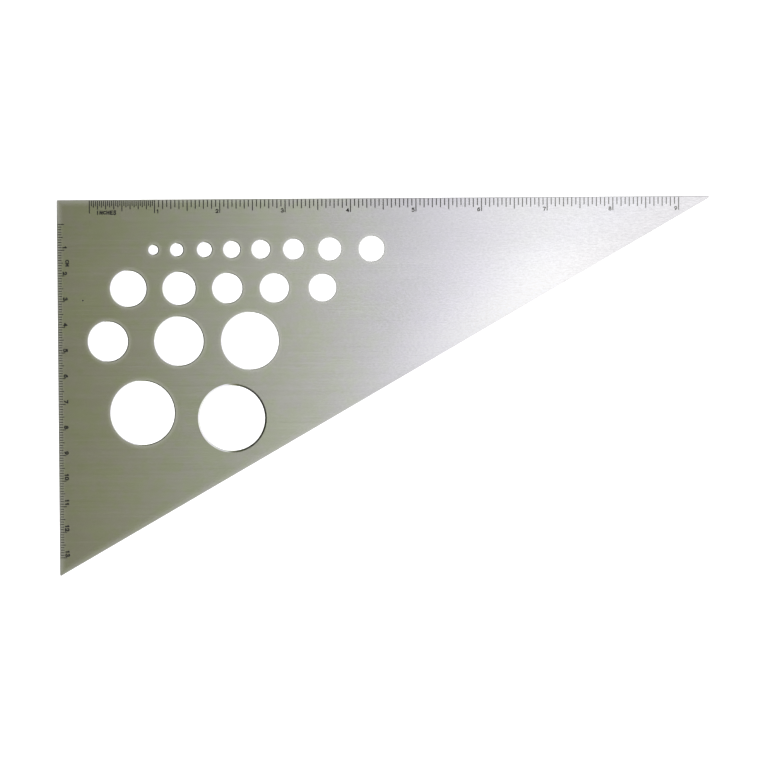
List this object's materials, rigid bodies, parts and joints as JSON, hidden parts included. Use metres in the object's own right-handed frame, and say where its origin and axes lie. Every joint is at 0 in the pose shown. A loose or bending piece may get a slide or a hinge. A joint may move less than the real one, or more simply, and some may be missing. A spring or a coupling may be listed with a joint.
{
  "type": "set square",
  "caption": "Flat brushed aluminium 30/60 degree drafting set square with inch and metric edge scales and a circle template.",
  "frame": {"origin": "on the underside, below the centre of the plate's bounding box", "axes": "+X along the long leg towards the 30 degree tip, +Y square to the long edge and outwards, +Z out of the graduated face"},
  "size_m": [0.2532, 0.1466, 0.002],
  "materials": {
    "brushed_aluminium": "satin brushed along the long leg, clear anodised",
    "scale_ink": "matt black colour fill"
  },
  "bodies": {
    "root": {"plate": "brushed_aluminium", "inch_graduations": "scale_ink", "inch_numerals": "scale_ink", "inch_label": "scale_ink", "millimetre_graduations": "scale_ink", "centimetre_numerals": "scale_ink", "centimetre_label": "scale_ink"}
  },
  "joints": []
}
